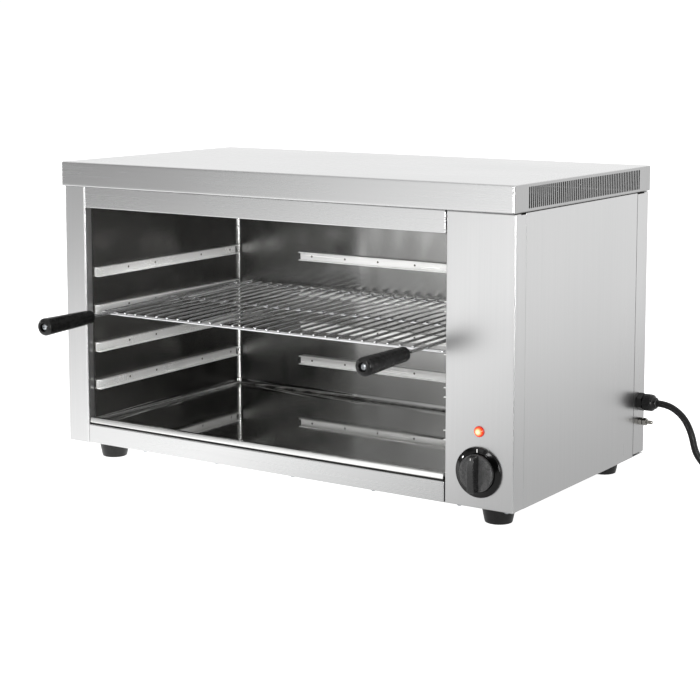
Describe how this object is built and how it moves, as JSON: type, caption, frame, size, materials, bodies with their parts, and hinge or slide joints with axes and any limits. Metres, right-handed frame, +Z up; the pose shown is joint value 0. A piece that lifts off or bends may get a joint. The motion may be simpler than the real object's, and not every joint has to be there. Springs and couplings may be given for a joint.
{
  "type": "cheese melter",
  "caption": "Counter-top cheese melter: steel cabinet with an open front, rack rails, a handled wire rack, a crumb tray, ceiling elements, a heat knob and a mains lead.",
  "frame": {"origin": "on the floor under the feet, at the middle of the bounding box of the machine without its cord, plug and cable gland", "axes": "+X to the user's right along the front, +Y away from the user, +Z up"},
  "size_m": [1.0442, 0.6993, 0.465],
  "materials": {
    "brushed_stainless": "long vertical brushed grain",
    "cavity_stainless": "bright rolled, softly reflecting",
    "rail_stainless": "bright rolled, formed channel",
    "polished_stainless": "near-mirror rolled",
    "chromed_wire": "bright plated wire",
    "black_phenolic": "moulded, satin",
    "zinc_plated_screws": "bright zinc plate",
    "element_sheath": "heat-darkened nickel alloy",
    "ceramic": "unglazed ivory ceramic",
    "dark_thermoset": "moulded, satin",
    "gloss_black_plastic": "moulded, polished",
    "satin_black_plastic": "moulded, fine texture",
    "amber_lens": "translucent, faceted",
    "red_lamp_body": "moulded, glossy",
    "red_silicone": "extruded silicone",
    "black_rubber": "extruded sheath, satin",
    "nickel_plated": "bright nickel plate",
    "black_nylon": "moulded, satin",
    "foot_rubber": "moulded, matt",
    "plug_plastic": "moulded, satin"
  },
  "bodies": {
    "cabinet": {"base_pan": "brushed_stainless", "left_side_panel": "brushed_stainless", "right_side_panel": "brushed_stainless", "rear_panel": "brushed_stainless", "lid": "brushed_stainless", "front_lintel": "brushed_stainless", "front_sill": "brushed_stainless", "control_panel": "brushed_stainless", "cavity_left_wall": "cavity_stainless", "cavity_right_wall": "cavity_stainless", "cavity_back_wall": "cavity_stainless", "cavity_ceiling": "cavity_stainless", "cavity_floor": "cavity_stainless", "left_rail_1": "rail_stainless", "left_rail_2": "rail_stainless", "left_rail_3": "rail_stainless", "left_rail_4": "rail_stainless", "right_rail_1": "rail_stainless", "right_rail_2": "rail_stainless", "right_rail_3": "rail_stainless", "right_rail_4": "rail_stainless", "back_rail_1": "rail_stainless", "back_rail_2": "rail_stainless", "back_rail_3": "rail_stainless", "back_rail_4": "rail_stainless", "heating_element_1": "element_sheath", "heating_element_2": "element_sheath", "heating_element_3": "element_sheath", "element_hangers": "rail_stainless", "element_bushes": "ceramic", "energy_regulator": "dark_thermoset", "regulator_screws": "zinc_plated_screws", "knob_bezel": "gloss_black_plastic", "pilot_lamp_lens": "amber_lens", "pilot_lamp_body": "red_lamp_body", "terminal_block": "ceramic", "internal_wires": "red_silicone", "inner_lead": "black_rubber", "earth_stud": "nickel_plated", "earth_nuts": "nickel_plated", "cable_gland": "black_nylon", "gland_locknut": "black_nylon", "foot_front_left": "foot_rubber", "foot_front_right": "foot_rubber", "foot_rear_left": "foot_rubber", "foot_rear_right": "foot_rubber", "foot_screws": "zinc_plated_screws", "base_screws": "zinc_plated_screws", "rear_screws": "zinc_plated_screws", "mains_cord": "black_rubber", "cord_coil": "black_rubber", "cord_tie": "black_nylon", "plug": "plug_plastic"},
    "rack": {"rack_grid": "chromed_wire", "left_grip": "black_phenolic", "right_grip": "black_phenolic", "grip_screws": "zinc_plated_screws"},
    "crumb_tray": {"crumb_tray": "polished_stainless"},
    "knob": {"control_knob": "satin_black_plastic", "regulator_shaft": "zinc_plated_screws"}
  },
  "joints": [
    {"name": "rack_slide", "type": "slide", "parent": "cabinet", "child": "rack", "axis": [0, -1, 0], "range_m": [0, 0.34]},
    {"name": "crumb_tray_slide", "type": "slide", "parent": "cabinet", "child": "crumb_tray", "axis": [0, -1, 0], "range_m": [0, 0.36]},
    {"name": "knob_turn", "type": "hinge", "parent": "cabinet", "child": "knob", "pos_m": [0.3358, -0.141, 0.0726], "axis": [0, 1, 0], "range_deg": [0, 300]}
  ]
}
